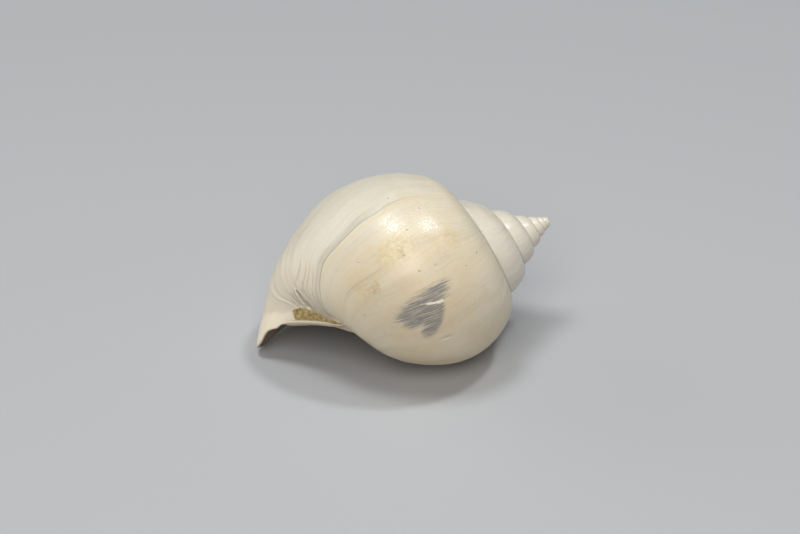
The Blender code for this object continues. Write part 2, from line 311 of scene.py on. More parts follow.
def section(psi, inset):
    """Radius and depth of the last whorl's section: a circle with waves, set in by a wall."""
    size = bpy.context.scene.fossil_shell.section_size / MM
    waves = sum(high * np.cos(n * (psi - math.radians(turn))) for n, high, turn in SECTION_WAVES)
    reach = size * (1.0 + waves) - inset
    lowest = UMBILICUS_RADIUS + inset
    radius = CENTRE_RADIUS + reach * np.cos(psi)
    radius = lowest + soft_above(radius - lowest, UMBILICUS_SOFTNESS)
    return radius, CENTRE_DEPTH - reach * np.sin(psi)


def growth(azimuth):
    """Width and length of the whorl at an azimuth against the last one."""
    turns = (azimuth - math.pi) / (2.0 * math.pi)
    return WIDTH_GROWTH**turns, LENGTH_GROWTH**turns


def swelling(azimuth, psi):
    """Height of the swellings and hollows, each a flat-topped hill in azimuth and psi."""
    across = np.degrees(azimuth)
    round_it = np.degrees(psi)
    hills = 0.0
    for middle, middle_psi, spread, spread_psi, height in SWELLS:
        away = ((across - middle) / spread) ** 2 + ((round_it - middle_psi) / spread_psi) ** 4
        hills = hills + height * np.exp(-away)
    return hills


def profile(azimuth, psi, wall=0.0):
    """Distance from the axis and depth below the tip, with the lip's flare."""
    width, length = growth(azimuth)
    radius, depth = section(psi, wall / width)
    stretch = BASE_STRETCH * smooth((azimuth + math.pi) / (2.0 * math.pi))
    depth = depth + stretch * soft_above(depth - CENTRE_DEPTH - BASE_STRETCH_FROM, 1.0)
    radius = radius * width
    depth = depth * length
    radius = radius * (1.0 + TAPER * smooth((depth - TAPER_FROM) / TAPER_LENGTH))
    swell = swelling(azimuth, psi)
    radius = radius + swell * np.cos(psi) + through(TIP_SWELL, depth)
    depth = depth - swell * np.sin(psi)
    behind = math.radians(LIP_AZIMUTH) + lip_offset(psi) - azimuth
    beside = (np.degrees(psi) - FLARE_CENTRE) / FLARE_SPREAD
    flare = smooth(1.0 - behind / math.radians(FLARE_REACH)) * np.exp(-(beside**2))
    return radius - FLARE_INWARD * flare, depth + FLARE_DEPTH * flare


def place(radius, depth, azimuth):
    """Points from distance, depth and azimuth round the sloping axis."""
    slope = math.radians(AXIS_SLOPE)
    up = radius * np.cos(azimuth) + through(AXIS_BEND, depth)
    x = -up * math.sin(slope) - depth * math.cos(slope)
    z = up * math.cos(slope) - depth * math.sin(slope)
    return np.stack([x, radius * np.sin(azimuth), z], -1)


def surface(azimuth, psi, wall=0.0):
    """Points of the whorl's surface, or of its inside when a wall is given."""
    radius, depth = profile(azimuth, psi, wall)
    return place(radius, depth, azimuth)


def outward(azimuth, psi):
    """Unit normals of the whorl's surface, from small steps along both angles."""
    step = 1e-3
    along = surface(azimuth + step, psi) - surface(azimuth - step, psi)
    across = surface(azimuth, psi + step) - surface(azimuth, psi - step)
    normal = np.cross(across, along)
    return normal / np.linalg.norm(normal, axis=-1, keepdims=True)


def suture_angles():
    """The two psi angles at which each whorl meets the one before it, by Newton's method."""
    def gaps(pair):
        upper, upper_depth = section(pair[0], 0.0)
        lower, lower_depth = section(pair[1], 0.0)
        return np.array([WIDTH_GROWTH * upper - lower, LENGTH_GROWTH * upper_depth - lower_depth])

    pair = np.radians([75.0, 28.0])
    for _ in range(NEWTON_STEPS):
        here = gaps(pair)
        slopes = [(gaps(pair + step) - here) / 1e-6 for step in 1e-6 * np.eye(2)]
        pair = pair - np.linalg.solve(np.array(slopes).T, here)
    return pair


def solve(gap, low, high):
    """Where gap crosses from below 0 to above it, by halving, for every entry."""
    for _ in range(HALVINGS):
        middle = (low + high) / 2.0
        under = gap(middle) < 0
        low = np.where(under, middle, low)
        high = np.where(under, high, middle)
    return (low + high) / 2.0


def lengths(points):
    """Distance along a chain of points, from 0 at its start to 1 at its end."""
    along = np.concatenate([[0.0], np.cumsum(np.linalg.norm(np.diff(points, axis=0), axis=1))])
    return along / along[-1]


def respaced(points, count):
    """The same chain with count + 1 points at even distances."""
    along = lengths(points)
    even = np.linspace(0.0, 1.0, count + 1)
    return np.stack([np.interp(even, along, column) for column in points.T], -1)


def growth_coordinate(azimuth, psi):
    """The suture azimuth at which a point was grown.

    It solves azimuth = g + offset(g, psi) by repeated substitution, where the
    offset passes from a whole growth line to the lip's edge in the last half turn.
    """
    degrees = np.degrees(psi)
    line = np.radians(through(WHOLE_GROWTH_LINE, degrees))
    lip = lip_offset(psi)
    g = azimuth - line
    for _ in range(SUBSTITUTIONS):
        near = smooth(g / math.radians(LIP_AZIMUTH))
        g = azimuth - line - near * (lip - line)
    return g


def ripples(x, counts, seed):
    """A wandering sum of sine waves with these counts and seeded phases, about -1 to 1."""
    phases = np.random.default_rng(seed).uniform(0.0, 2.0 * math.pi, len(counts))
    return sum(np.sin(n * x + p) for n, p in zip(counts, phases)) / math.sqrt(len(counts))


def relief(g, psi, fade):
    """Height of the growth ridges: sine waves of the growth coordinate, faded at the edges."""
    high = bpy.context.scene.fossil_shell.relief / MM
    near_navel = beyond(psi, *NAVEL_START)
    gathered = near_navel * smooth((g + 0.15) / 0.3) * smooth((1.0 - g) / 0.5)
    return high * fade * (ripples(g, *GROWTH_WAVES) + gathered * ripples(g, *NAVEL_WAVES))


# The corners of a grid's cells, in order round each cell, as slices of the grid.
FIRST, NEXT = slice(None, -1), slice(1, None)
CELL_CORNERS = ((FIRST, FIRST), (NEXT, FIRST), (NEXT, NEXT), (FIRST, NEXT))


class Skin:
    """Points, masks and triangles with growth coordinates, gathered patch by patch."""

    def __init__(self):
        self.count = 0
        self.points = []
        self.masks = []
        self.triangles = []
        self.corners = []

    def add(self, points, **masks):
        """Adds points with their masks and returns their numbers in the same arrangement."""
        shape = points.shape[:-1]
        first = self.count
        self.count += int(np.prod(shape))
        self.points.append(points.reshape(-1, 3))
        levels = [np.broadcast_to(masks.get(name, 0.0), shape).reshape(-1) for name in MASKS]
        self.masks.append(np.stack(levels, -1))
        return np.arange(first, self.count).reshape(shape)

    def at(self, ids):
        """The points with these numbers."""
        return np.concatenate(self.points)[ids]

    def put(self, ids, marks):
        """Adds triangles, leaving out any that repeats a corner."""
        kept = (ids[:, 0] != ids[:, 1]) & (ids[:, 1] != ids[:, 2]) & (ids[:, 2] != ids[:, 0])
        self.triangles.append(ids[kept])
        self.corners.append(marks[kept])

    def sheet(self, ids, marks, flip=False):
        """Adds the faces of a grid of point numbers, two triangles to each cell."""
        for turn in ((0, 1, 2), (0, 2, 3)):
            picked = [CELL_CORNERS[i] for i in (turn[::-1] if flip else turn)]
            self.put(
                np.stack([ids[c] for c in picked], -1).reshape(-1, 3),
                np.stack([marks[c] for c in picked], -2).reshape(-1, 3, 2),
            )

    def zip_up(self, first, second, first_marks, second_marks):
        """Triangles between two chains that run the same way, in the order of their lengths."""
        far = np.concatenate([lengths(self.at(first))[1:], lengths(self.at(second))[1:] + 1e-9])
        on_second = np.repeat([False, True], [len(first) - 1, len(second) - 1])
        on_second = on_second[np.argsort(far, kind="stable")]
        i = np.concatenate([[0], np.cumsum(~on_second)])[:-1]
        j = np.concatenate([[0], np.cumsum(on_second)])[:-1]
        a, b = i[~on_second], j[~on_second]
        self.put(
            np.stack([first[a + 1], first[a], second[b]], -1),
            np.stack([first_marks[a + 1], first_marks[a], second_marks[b]], -2),
        )
        a, b = i[on_second], j[on_second]
        self.put(
            np.stack([second[b], second[b + 1], first[a]], -1),
            np.stack([second_marks[b], second_marks[b + 1], first_marks[a]], -2),
        )

    def fan(self, loop, centre, loop_marks, centre_mark):
        """Triangles from a closed loop to one point."""
        ends = np.full(len(loop), centre)
        mark = np.broadcast_to(centre_mark, loop_marks.shape)
        self.put(
            np.stack([loop, np.roll(loop, -1), ends], -1),
            np.stack([loop_marks, np.roll(loop_marks, -1, axis=0), mark], -2),
        )


def outside_grid(upper, lower):
    """Azimuth and psi of the outside: one row of points for each column."""
    lip = math.radians(LIP_AZIMUTH)
    lag = growth_offset(lower)
    step = (2.0 * math.pi + lag) / COLUMNS
    last = int((TURNS + 1.0) * COLUMNS)
    before = last - COLUMNS
    suture = (lip - (last - np.arange(last + 1)) * step)[:, None]
    spire_psi = np.linspace(upper, lower, SPIRE_ROWS + 1)
    blend = smooth((suture - suture[before]) / (lip - suture[before]))
    spire = suture + (1.0 - blend) * growth_offset(spire_psi) + blend * lip_offset(spire_psi)

    # Below the spire's rows the columns fan out, from the inner lip's end to the free lip.
    down = np.linspace(0.0, 1.0, ROWS - SPIRE_ROWS + 1)[1:]
    end = np.radians(INNER_LIP_END[0])
    lip_psi = lower + (math.radians(SECTION_END) - lower) * down
    fan = lag + (end - suture[before] - lag) * down**2
    body = suture + (1.0 - blend) * fan + blend * lip_offset(lip_psi)
    edge_psi = np.radians(through(GROOVE_EDGE, np.degrees(body[:, -1:])))
    body_psi = lower + (edge_psi - lower) * down
    azimuth = np.concatenate([spire, body], 1)
    psi = np.concatenate([spire_psi + 0.0 * spire, body_psi], 1)
    return azimuth, psi, before


def inner_lip(start, end):
    """Crest of the inner lip from its start on the free lip to its end, and its drop."""
    points = np.array([start, *INNER_LIP_CREST, end])
    along = lengths(points)
    t = np.linspace(0.0, 1.0, PILLAR_STEPS + 1)
    crest = np.stack([through(list(zip(along, column)), t) for column in points.T], -1)
    return crest, through(INNER_LIP_DROP, t)[:, None] * np.array(DROP_DIRECTION)


def hollow_loops(azimuth, psi, before, crest, drop):
    """Loops that go back from the mouth: the hollow's wall, then the whorl before.

    Each loop is the section again, turned further back and set in by the wall. near
    falls from 1 at the mouth to 0 at the end, as the loops turn from the lip's slant
    to their own level, and folded falls faster, as they leave the inner lip's
    underside. Both sides of a loop meet at the pillar's foot.
    """
    upper, lower = psi[0, 0], psi[0, SPIRE_ROWS]
    start_azimuth = azimuth[before, 0]
    down = np.linspace(0.0, 1.0, ROWS + PILLAR_STEPS + 1)
    across = np.linspace(0.0, 1.0, PILLAR_STEPS + 1)
    deep = np.linspace(0.0, 1.0, HOLLOW_LOOPS + 1)[:, None]
    back = math.radians(HOLLOW_DEPTH) * deep
    near = 1.0 - smooth(deep)
    folded = 1.0 - smooth(back / math.radians(INNER_LIP_REACH))
    wall = LIP_WALL + (FULL_WALL - LIP_WALL) * smooth(back / math.radians(WALL_GROWS_OVER))
    level = math.radians(HOLLOW_LEVEL)

    # The whorl before, from under the seam to the foot of the pillar.
    foot_azimuth = azimuth[-1, -1] - 2.0 * math.pi - back[:, 0]
    reach = (UMBILICUS_RADIUS + 0.1) * growth(foot_azimuth)[0] + wall[:, 0]
    foot = solve(lambda x: profile(foot_azimuth, x)[0] - reach, *np.radians(FOOT_BETWEEN))
    lip_end, lip_end_psi = np.radians(INNER_LIP_END)
    foot_azimuth = foot_azimuth + folded[:, 0] * (lip_end - foot_azimuth)
    foot = foot + folded[:, 0] * (lip_end_psi - foot)
    head = lower - math.radians(HEAD_TUCK) * np.clip(wall / FULL_WALL, 0.5, 1.0)
    head_azimuth = start_azimuth + growth_offset(lower) * near + level * (1.0 - near) - back
    inner_azimuth = head_azimuth + (foot_azimuth[:, None] - head_azimuth) * down**3
    inner_psi = head + (foot[:, None] - head) * down
    inner = surface(inner_azimuth, inner_psi)

    # The hollow's wall, set in from the outside, and round the pillar to its foot.
    shift = math.radians(WALL_SHIFT)
    wall_psi = psi[-1] - shift * (1.0 - (upper - psi[-1]) / (upper - psi[-1, -1])) ** 4
    wall_azimuth = azimuth[-1, 0] + lip_offset(wall_psi) * near + level * (1.0 - near) - back
    rim_azimuth = wall_azimuth[:, -1:]
    foot_depth = profile(foot_azimuth, foot)[1]
    toe = solve(
        lambda x: profile(rim_azimuth[:, 0], x, wall[:, 0])[1] - foot_depth,
        *np.radians(TOE_BETWEEN),
    )[:, None]
    outer = surface(wall_azimuth, wall_psi + 0.0 * wall_azimuth, wall)
    drop = drop + (outer[0, -1] - crest[0] - drop[0]) * (1.0 - smooth(across / 0.25))[:, None]
    pillar_psi = wall_psi[-1] + (toe - wall_psi[-1]) * across
    pillar = surface(rim_azimuth + 0.0 * across, pillar_psi, wall)
    pillar = pillar + (inner[:, -1:] - pillar[:, -1:]) * across[:, None] ** 2
    under = outer[:, -1:] + (crest + drop - crest[0] - drop[0])
    under = under + (inner[:, -1:] - under[:, -1:]) * across[:, None] ** 2
    pillar = pillar + folded[:, :, None] * (under - pillar)
    outer = np.concatenate([outer, pillar[:, 1:]], 1)
    outer[0, ROWS:-1] = (crest + drop)[:-1]
    wall_psi = np.concatenate([wall_psi + 0.0 * wall_azimuth, pillar_psi[:, 1:]], 1)
    wall_azimuth = np.concatenate([wall_azimuth, rim_azimuth + 0.0 * across[1:]], 1)
    outer_marks = np.stack([wall_azimuth, wall_psi], -1)
    return outer, outer_marks, inner, np.stack([inner_azimuth, inner_psi], -1)


def rim_rows(edge, inner_edge):
    """Rows of a rounded rim between two edges: half circles that bulge out of the mouth."""
    across = edge - inner_edge
    ahead = np.cross(np.gradient(edge, axis=0), across)
    ahead /= np.linalg.norm(ahead, axis=1, keepdims=True) + 1e-9
    gap = np.minimum(np.linalg.norm(across, axis=1, keepdims=True), LIP_WALL) / 2.0
    along = lengths(edge)
    fade = smooth(np.minimum(along, 1.0 - along) / RIM_ENDS)[:, None]
    turn = math.pi * np.arange(1, RIM_STEPS + 1)[:, None, None] / (RIM_STEPS + 1)
    bulge = ahead * gap * fade * np.sin(turn)
    return (edge + inner_edge) / 2.0 + across / 2.0 * np.cos(turn) + bulge


def build_skin():
    """The whole closed shell."""
    skin = Skin()
    azimuth, psi, before = outside_grid(*suture_angles())
    g = growth_coordinate(azimuth, psi)
    marks = np.stack([g, psi], -1)
    down = np.linspace(0.0, 1.0, ROWS + 1)
    near_upper = smooth((psi[:, :1] - psi) / math.radians(FADE_BELOW_SEAM))
    near_lower = smooth(np.abs(psi - psi[0, SPIRE_ROWS]) / math.radians(FADE_ABOVE_SEAM))
    near_lip = smooth((azimuth[-1:] - azimuth) / math.radians(FADE_AT_LIP))
    below_seam = (np.arange(len(azimuth))[:, None] > before) & (down > SPIRE_ROWS / ROWS)
    fade = near_upper * near_lip * np.where(below_seam, 1.0, near_lower)
    base = beyond(psi, *BASE_START)
    callus = smooth((g - CALLUS_GROWN[0]) / CALLUS_GROWN[1]) * beyond(psi, *CALLUS_START)
    height = relief(g, psi, fade * (1.0 - 0.9 * callus)) * growth(azimuth)[0]
    outside = surface(azimuth, psi) + height[..., None] * outward(azimuth, psi)
    last = len(outside) - 1

    # Outside: rows of the spire for every turn, all rows for the last one.
    ids = np.full(azimuth.shape, -1)
    on_seam = np.arange(SPIRE_ROWS) == 0
    spire = (slice(None), slice(SPIRE_ROWS))
    body = (slice(before + 1, None), slice(SPIRE_ROWS, None))
    ids[spire] = skin.add(outside[spire], base=base[spire], seam=on_seam)
    ids[body] = skin.add(outside[body], base=base[body], callus=callus[body])
    ids[:before + 1, SPIRE_ROWS] = ids[COLUMNS:, 0]
    skin.sheet(ids[:before + 2, :SPIRE_ROWS + 1], marks[:before + 2, :SPIRE_ROWS + 1])
    skin.sheet(ids[before + 1:], marks[before + 1:])

    # Hollow, with the last loop joined across.
    corner = outside[before, -1]
    crest, drop = inner_lip(outside[last, -1], corner)
    outer, outer_marks, inner, inner_marks = hollow_loops(azimuth, psi, before, crest, drop)
    deep = smooth(np.arange(len(outer)) / LOOPS_TO_SHADE)[:, None]
    inner_ids = skin.add(inner, inside=1.0, deep=deep)
    outer_ids = inner_ids.copy()
    outer_ids[:, 1:-1] = skin.add(outer[:, 1:-1], inside=1.0, deep=deep)
    skin.sheet(outer_ids, outer_marks)
    skin.sheet(inner_ids, inner_marks, flip=True)
    last_ids = np.stack([outer_ids[-1], inner_ids[-1]])
    skin.sheet(last_ids, np.stack([outer_marks[-1], inner_marks[-1]]))

    # Lip: a rounded rim between the outside and the hollow.
    crest_ids = np.concatenate([skin.add(crest[1:-1], callus=1.0), skin.add(corner[None])])
    edge_ids = np.concatenate([ids[last], crest_ids])
    edge = skin.at(edge_ids)
    into_mouth = np.linspace(0.15, 1.0, RIM_STEPS)[:, None]
    middle_ids = skin.add(rim_rows(edge, skin.at(outer_ids[0])), inside=into_mouth)
    rim = np.concatenate([edge_ids[None], middle_ids, outer_ids[:1]])
    lip_marks = np.concatenate([marks[last], np.broadcast_to(marks[last, -1], (PILLAR_STEPS, 2))])
    round_rim = np.linspace(0.0, 1.0, RIM_STEPS + 2)[:, None, None]
    rim_marks = lip_marks + round_rim * (outer_marks[0] - lip_marks)
    skin.sheet(rim, rim_marks)

    # The seam between the whorl before and the mouth.
    seam = np.concatenate([rim[:, 0], inner_ids[0, 1:-1], rim[::-1, -1]])
    seam_marks = np.concatenate([rim_marks[:, 0], inner_marks[0, 1:-1], rim_marks[::-1, -1]])
    skin.zip_up(seam, ids[before + 1, SPIRE_ROWS:], seam_marks, marks[before + 1, SPIRE_ROWS:])
    close_groove(skin, ids, marks, before, crest_ids, lip_marks[ROWS:])

    # The tip.
    start_loop = np.concatenate([ids[0, :SPIRE_ROWS + 1], ids[1:COLUMNS, 0][::-1]])
    start_marks = np.concatenate([marks[0, :SPIRE_ROWS + 1], marks[1:COLUMNS, 0][::-1]])
    tip = skin.at(start_loop).mean(0) * 0.5
    skin.fan(start_loop, skin.add(tip[None])[0], start_marks, start_marks[0])
    return skin


def close_groove(skin, ids, marks, before, crest_ids, crest_marks):
    """The groove behind the inner lip, with its sediment.

    Its rows run straight from the outside's edge to the crest and sink in the middle.
    """
    crest_line = np.concatenate([ids[-1, -1:], crest_ids])
    edge_line = np.append(ids[before + 1:, -1][::-1], crest_ids[-1])
    edge_marks = np.concatenate([marks[before + 1:, -1][::-1], crest_marks[-1:]])
    upper = respaced(skin.at(edge_line), GROOVE_STEPS)
    lower = respaced(skin.at(crest_line), GROOVE_STEPS)
    down = (np.arange(1, GROOVE_ROWS) / GROOVE_ROWS)[:, None]
    along = np.linspace(0.0, 1.0, GROOVE_STEPS + 1)
    rows = upper + down[..., None] * (lower - upper)
    into = np.array(DROP_DIRECTION)
    sunk = GROOVE_SINK * np.sin(math.pi * down) ** 0.7
    sunk = sunk * smooth(along / 0.3) * smooth((1.0 - along) / 0.2)
    rows = rows + sunk[..., None] * into
    top = through(SEDIMENT_TOP, along)
    fill = smooth((along - SEDIMENT_START) / 0.06) * smooth((1.0 - along) / 0.02)
    bottom = through(SEDIMENT_BOTTOM, along)
    fill = fill * smooth((bottom - down) / 0.08) * smooth((down - top + 0.03) / 0.14)
    band = np.maximum(smooth((0.40 - along) / 0.10), smooth((down - 0.45) / 0.25))
    middle = skin.add(rows[:, 1:-1], sediment=fill[:, 1:-1], callus=band[:, 1:-1])
    ends = np.broadcast_to(np.array([edge_line[0], edge_line[-1]]), (len(middle), 2))
    grid = np.concatenate([ends[:, :1], middle, ends[:, 1:]], 1)
    far = lengths(skin.at(edge_line))
    even = np.stack([np.interp(along, far, column) for column in edge_marks.T], -1)
    grid_marks = even + down[..., None] * np.array([0.0, GROOVE_PSI])
    skin.zip_up(edge_line, grid[0], edge_marks, grid_marks[0])
    skin.sheet(grid, grid_marks)
    skin.zip_up(grid[-1], crest_line, grid_marks[-1], crest_marks)


def turned(points):
    """The small roll and pitch that bring the shell to rest."""
    roll = math.radians(REST_ROLL)
    pitch = math.radians(REST_PITCH)
    x, y, z = points.T
    y, z = y * math.cos(roll) - z * math.sin(roll), y * math.sin(roll) + z * math.cos(roll)
    x, z = x * math.cos(pitch) + z * math.sin(pitch), z * math.cos(pitch) - x * math.sin(pitch)
    return np.stack([x, y, z], -1)


def on_the_table(points):
    """Moves the shell so that its box stands centred on the origin."""
    low = points.min(0)
    high = points.max(0)
    return points - np.array([(low[0] + high[0]) / 2, (low[1] + high[1]) / 2, low[2]])


def mesh_from_skin(skin, name):
    """A smooth mesh with the growth coordinates as a UV map and the masks as attributes."""
    points = on_the_table(turned(np.concatenate(skin.points))) * MM
    triangles = np.concatenate(skin.triangles)
    corners = np.concatenate(skin.corners).reshape(-1, 2)
    mesh = bpy.data.meshes.new(name)
    mesh.vertices.add(len(points))
    mesh.vertices.foreach_set("co", points.astype(np.float32).ravel())
    mesh.loops.add(triangles.size)
    mesh.loops.foreach_set("vertex_index", triangles.astype(np.int32).ravel())
    mesh.polygons.add(len(triangles))
    mesh.polygons.foreach_set("loop_start", np.arange(0, triangles.size, 3, dtype=np.int32))
    mesh.polygons.foreach_set("use_smooth", np.ones(len(triangles), bool))
    mesh.update(calc_edges=True)
    growth_map = mesh.uv_layers.new(name="Growth")
    growth_map.data.foreach_set("uv", corners.astype(np.float32).ravel())
    masks = np.concatenate(skin.masks).astype(np.float32)
    for i, mask in enumerate(MASKS):
        made = mesh.attributes.new(mask, "FLOAT", "POINT")
        made.data.foreach_set("value", masks[:, i].copy())
    mesh.validate()
    return mesh


# Colours that no setting covers, as linear values.
BASE_WARM = (0.86, 0.75, 0.57, 1.0)
PALE_CLOUD = (0.76, 0.72, 0.62, 1.0)
WARM_CLOUD = (0.66, 0.53, 0.33, 1.0)
HATCH_GREY = (0.25, 0.22, 0.16, 1.0)
YELLOW = (0.74, 0.58, 0.30, 1.0)
SCRATCH_CREAM = (0.96, 0.88, 0.69, 1.0)
CRACK_BROWN = (0.10, 0.08, 0.06, 1.0)
# Painted shade on the mouth's rim, which faces down.
RIM_SHADE_BROWN = (0.26, 0.20, 0.135, 1.0)
MOUTH_BEIGE = (0.66, 0.56, 0.44, 1.0)
# Painted shade in the crease along the seams.
SEAM_SHADE_GREY = (0.30, 0.27, 0.22, 1.0)
SHOULDER_CREAM = (0.80, 0.70, 0.53, 1.0)
CALLUS_PALE = (0.88, 0.80, 0.64, 1.0)
SEDIMENT_DARK = (0.20, 0.145, 0.045, 1.0)
SEDIMENT_PALE = (0.64, 0.48, 0.20, 1.0)
# Painted shade in the hollows of the wrinkles.
FOLD_SHADE_TAN = (0.47, 0.37, 0.22, 1.0)
SPOT_BROWN = (0.40, 0.27, 0.10, 1.0)
# The older whorls' pale cream, with a painted cool sky reflection in its tint.
SPIRE_CREAM_AND_SKY_TINT = (0.77, 0.70, 0.60, 1.0)
# Painted shade in the valleys near the inner lip, and also the strong growth line's own brown.
VALLEY_SHADE_AND_LINE_BROWN = (0.34, 0.25, 0.14, 1.0)
# A painted highlight along the raised ridges near the inner lip.
RIDGE_HIGHLIGHT_CREAM = (0.94, 0.85, 0.67, 1.0)

# Marks on the growth map: centre and radii in radians as (g, psi), then the turn in degrees.
PATCH_LOBES = (
    ((-1.033, -0.165), (0.389, 0.113), 80.9), ((-1.199, -0.101), (0.276, 0.097), 48.1),
    ((-1.111, -0.271), (0.257, 0.104), 81.3),
)
SCRATCH = ((-1.058, 0.022), (0.150, 0.013), 104.0)
SCRATCH_EDGE = ((-1.040, -0.060), (0.10, 0.010), 104.0)
NICK = ((-1.503, -0.080), (0.060, 0.013), 90.0)
NICK_SHADE = ((-1.472, -0.060), (0.075, 0.020), 90.0)

# Growth coordinates of the wrinkles near the navel.
WRINKLES = (0.045, 0.090, 0.160, 0.266, 0.345, 0.500)

# Stains: centre, radii and turn on the growth map, then strength and colour.
STAINS = (
    ((-0.43, -0.08), (0.19, 0.12), 75.0, 0.62, (0.60, 0.45, 0.19, 1.0)),
    ((-0.475, -0.03), (0.06, 0.04), 60.0, 0.62, (0.46, 0.32, 0.12, 1.0)),
    ((-0.42, -0.24), (0.13, 0.08), 80.0, 0.50, (0.66, 0.47, 0.19, 1.0)),
    ((-0.477, 0.189), (0.05, 0.04), 0.0, 0.50, (0.60, 0.43, 0.19, 1.0)),
    ((-0.545, 0.63), (0.09, 0.09), 0.0, 0.50, (0.62, 0.46, 0.20, 1.0)),
    ((-0.653, 0.42), (0.08, 0.08), 0.0, 0.25, (0.62, 0.46, 0.22, 1.0)),
    ((-0.633, -0.600), (0.075, 0.055), 80.0, 0.85, (0.52, 0.34, 0.18, 1.0)),
    ((-0.62, -0.70), (0.18, 0.18), 0.0, 0.35, (0.62, 0.45, 0.20, 1.0)),
)

# Pits: centre on the growth map and radius along g; each is longer along psi.
PITS = (
    ((-0.307, -0.568), 0.010), ((-0.760, 0.259), 0.009), ((-0.722, 0.039), 0.011),
    ((-0.519, -0.019), 0.009), ((-0.865, -0.967), 0.009), ((-1.228, -0.859), 0.009),
    ((-0.777, 0.866), 0.011), ((-0.879, 0.629), 0.008), ((-0.171, 0.500), 0.009),
    ((0.072, 0.254), 0.009), ((-0.336, 0.194), 0.008), ((0.607, -1.451), 0.020),
    ((0.577, -1.421), 0.015),
)
PIT_LENGTHENING = 1.3

# The smooth band's upper boundary: a plane's direction, and its distance and
# softness in millimetres.
CALLUS_PLANE = ((0.1213, 0.5311, 0.8387), 4.77, 0.25)

# Marks near the inner lip: a half width and a chain of points on the shell, in millimetres. The
# valleys are painted shade and the ridges carry a painted highlight.
CRACK = (0.11, ((-13.71, -0.79, 10.97), (-13.60, -1.12, 10.81), (-13.47, -1.39, 10.62)))
BROWN_SPOT = (0.22, ((-12.90, -2.05, 10.09), (-12.75, -1.98, 9.75), (-12.54, -2.02, 9.46)))
SIDE_VALLEY_SHADE = (0.26, ((-14.05, -0.05, 10.10), (-13.70, -0.45, 9.55), (-13.33, -0.70, 8.95)))
SIDE_RIDGE = (0.13, ((-14.09, 0.19, 9.44), (-13.81, -0.21, 9.17), (-13.49, -0.46, 8.73)))
RIDGE = (0.25, (
    (-13.80, -0.60, 10.89), (-13.60, -0.86, 10.10), (-13.30, -1.14, 9.66), (-12.85, -1.21, 8.87),
    (-12.50, -1.73, 8.63),
))
VALLEY_SHADE = (0.45, (
    (-13.45, -1.42, 10.60), (-13.30, -1.40, 10.13), (-12.87, -1.55, 9.39), (-12.37, -1.82, 8.74),
    (-11.85, -2.77, 8.72), (-11.23, -3.78, 8.79), (-10.70, -4.68, 8.74),
))

# Gloss and fine relief: roughness of the last turn, of the spire and of dull parts,
# how strongly all reflect, and the bump distance in metres.
LAST_TURN_ROUGHNESS = 0.40
SPIRE_ROUGHNESS = 0.23
DULL_ROUGHNESS = 0.9
SPECULAR_LEVEL = 0.75
BUMP_DISTANCE = 0.00005


def add_node(tree, kind, inputs=None, output=0, **settings):
    """The output of a new shader node, with its settings and with values or outputs as inputs."""
    made = tree.nodes.new(kind)
    for name, value in settings.items():
        setattr(made, name, value)
    for name, value in (inputs or {}).items():
        if isinstance(value, Output):
            tree.links.new(value.socket, made.inputs[name])
        else:
            made.inputs[name].default_value = value
    return Output(made.outputs[output])


class Output:
    """A shader node's output; +, - and * between outputs and numbers add Math nodes."""

    def __init__(self, socket):
        self.socket = socket
        self.tree = socket.id_data

    def sum(self, operation, first, second):
        """The output of a new Math node."""
        return add_node(self.tree, "ShaderNodeMath", {0: first, 1: second}, operation=operation)

    def __add__(self, other):
        return self.sum("ADD", self, other)

    def __sub__(self, other):
        return self.sum("SUBTRACT", self, other)

    def __rsub__(self, other):
        return self.sum("SUBTRACT", other, self)

    def __mul__(self, other):
        return self.sum("MULTIPLY", self, other)

    def __abs__(self):
        return self.sum("ABSOLUTE", self, 0.0)


def highest(first, *others):
    """The greatest of several outputs."""
    for other in others:
        first = first.sum("MAXIMUM", first, other)
    return first


def painted(ground, *layers):
    """The ground with colours laid over it in turn, each by its own factor."""
    for factor, colour in layers:
        inputs = {0: factor, 6: ground, 7: colour}
        ground = add_node(factor.tree, "ShaderNodeMix", inputs, 2, data_type="RGBA")
    return ground


def ranged(value, low, high, to_low=0.0, to_high=1.0, kind="SMOOTHSTEP"):
    """The value carried from low..high to to_low..to_high in an even S, and held outside."""
    inputs = {
        "Value": value, "From Min": low, "From Max": high, "To Min": to_low, "To Max": to_high,
    }
    return add_node(value.tree, "ShaderNodeMapRange", inputs, interpolation_type=kind)


def noise(vector, scale, detail=3.0, rough=0.6):
    """Fractal noise of about 0 to 1."""
    inputs = {"Vector": vector, "Scale": scale, "Detail": detail, "Roughness": rough}
    return add_node(vector.tree, "ShaderNodeTexNoise", inputs)


def streaks(growth_map, across, along_line, location=(0.0, 0.0, 0.0), detail=3.0, rough=0.6):
    """Noise stretched along the growth lines, with its scale across them and along them."""
    inputs = {"Vector": growth_map, "Location": location, "Scale": (across, along_line, 1.0)}
    return noise(add_node(growth_map.tree, "ShaderNodeMapping", inputs), 1.0, detail, rough)


def sheared(g, psi, shift):
    """The growth map with its lines moved by a shift."""
    return add_node(g.tree, "ShaderNodeCombineXYZ", {0: g + shift, 1: psi})


def egg(where, centre, radii, turn, soft, ragged=None):
    """1 inside a turned ellipsoid and 0 outside, with a soft or ragged edge."""
    inputs = {"Vector": where, "Location": centre, "Rotation": turn, "Scale": radii}
    local = add_node(where.tree, "ShaderNodeMapping", inputs, vector_type="TEXTURE")
    far = add_node(where.tree, "ShaderNodeVectorMath", {0: local}, "Value", operation="LENGTH")
    if ragged:
        far = far + ragged
    return ranged(far, 1.0 + soft, 1.0 - soft)


def within(growth_map, centre, radii, turn, soft, ragged=None):
    """1 inside a turned ellipse of the growth map and 0 outside."""
    turn = (0.0, 0.0, math.radians(turn))
    return egg(growth_map, (*centre, 0.0), (*radii, 1.0), turn, soft, ragged)


def below(spot, direction, distance, soft):
    """1 below a plane, given by its direction and distance, and 0 above it."""
    inputs = {0: spot, 1: direction}
    height = add_node(spot.tree, "ShaderNodeVectorMath", inputs, "Value", operation="DOT_PRODUCT")
    return ranged(height, (distance + soft) * MM, (distance - soft) * MM)


